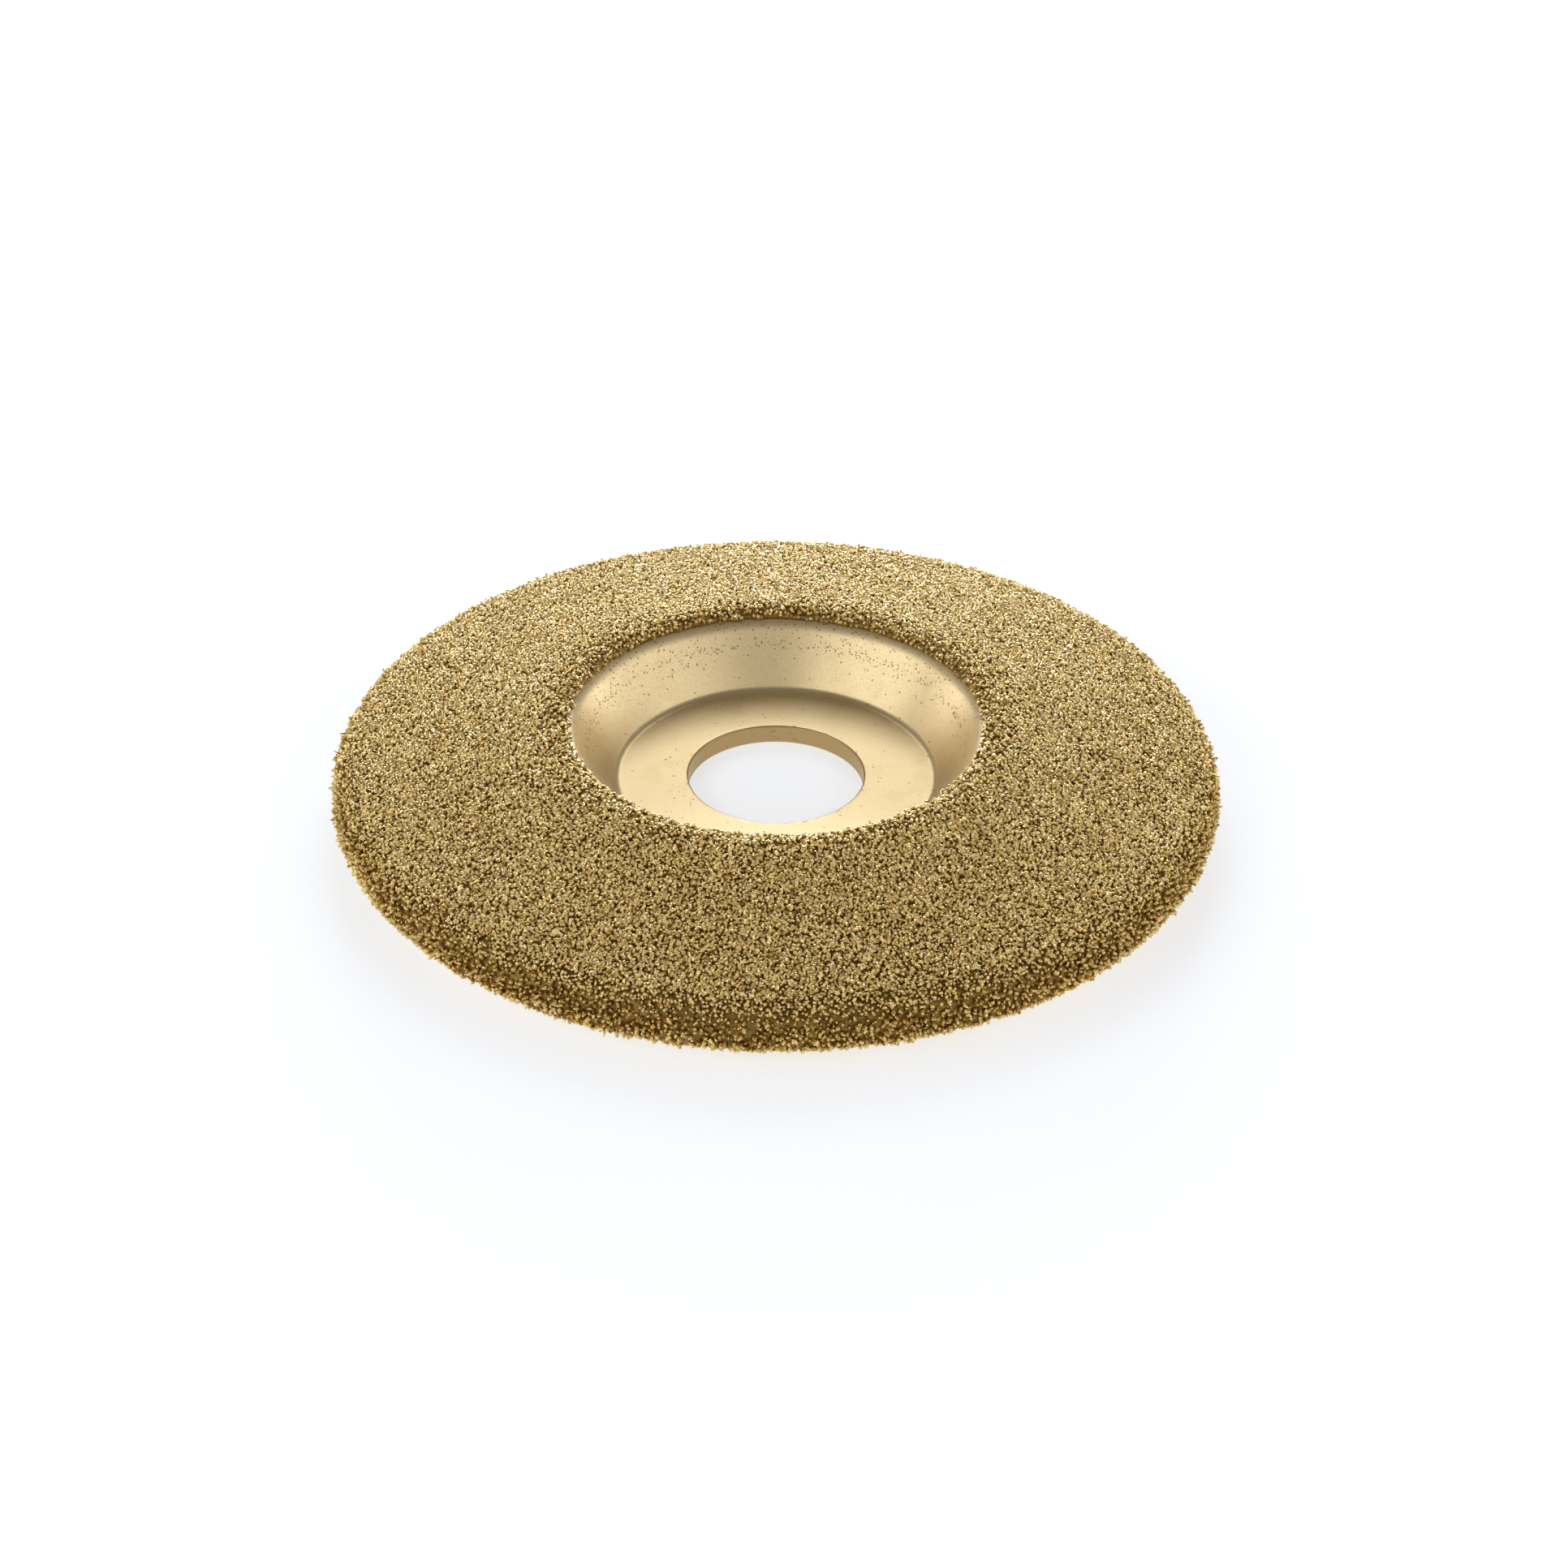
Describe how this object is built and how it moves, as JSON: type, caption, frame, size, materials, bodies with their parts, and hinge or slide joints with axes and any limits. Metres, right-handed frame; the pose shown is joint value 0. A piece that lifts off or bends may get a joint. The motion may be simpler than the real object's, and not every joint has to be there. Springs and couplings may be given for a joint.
{
  "type": "angle grinder carving disc",
  "caption": "Dished steel disc with a recessed hub, a plain bore and a coat of brazed carbide teeth over its face and rim, for shaping wood on an angle grinder.",
  "frame": {"origin": "centre of the bore on the underside of the hub, the lowest point of the disc", "axes": "+Z along the spindle axis, out of the working face; the disc is round, so X and Y are any two directions square to it"},
  "size_m": [0.1108, 0.1108, 0.0118],
  "materials": {
    "dish_steel": "satin gold finish over blasted steel",
    "braze": "rough braze",
    "carbide": "coarse needle clusters, gold finish"
  },
  "bodies": {
    "root": {"steel_dish": "dish_steel", "braze_layer": "braze", "tooth_ring_01": "carbide", "tooth_ring_02": "carbide", "tooth_ring_03": "carbide", "tooth_ring_04": "carbide", "tooth_ring_05": "carbide", "tooth_ring_06": "carbide", "tooth_ring_07": "carbide", "tooth_ring_08": "carbide", "tooth_ring_09": "carbide", "tooth_ring_10": "carbide", "tooth_ring_11": "carbide", "tooth_ring_12": "carbide", "tooth_ring_13": "carbide", "tooth_ring_14": "carbide", "tooth_ring_15": "carbide", "tooth_ring_16": "carbide", "tooth_ring_17": "carbide", "tooth_ring_18": "carbide"}
  },
  "joints": []
}
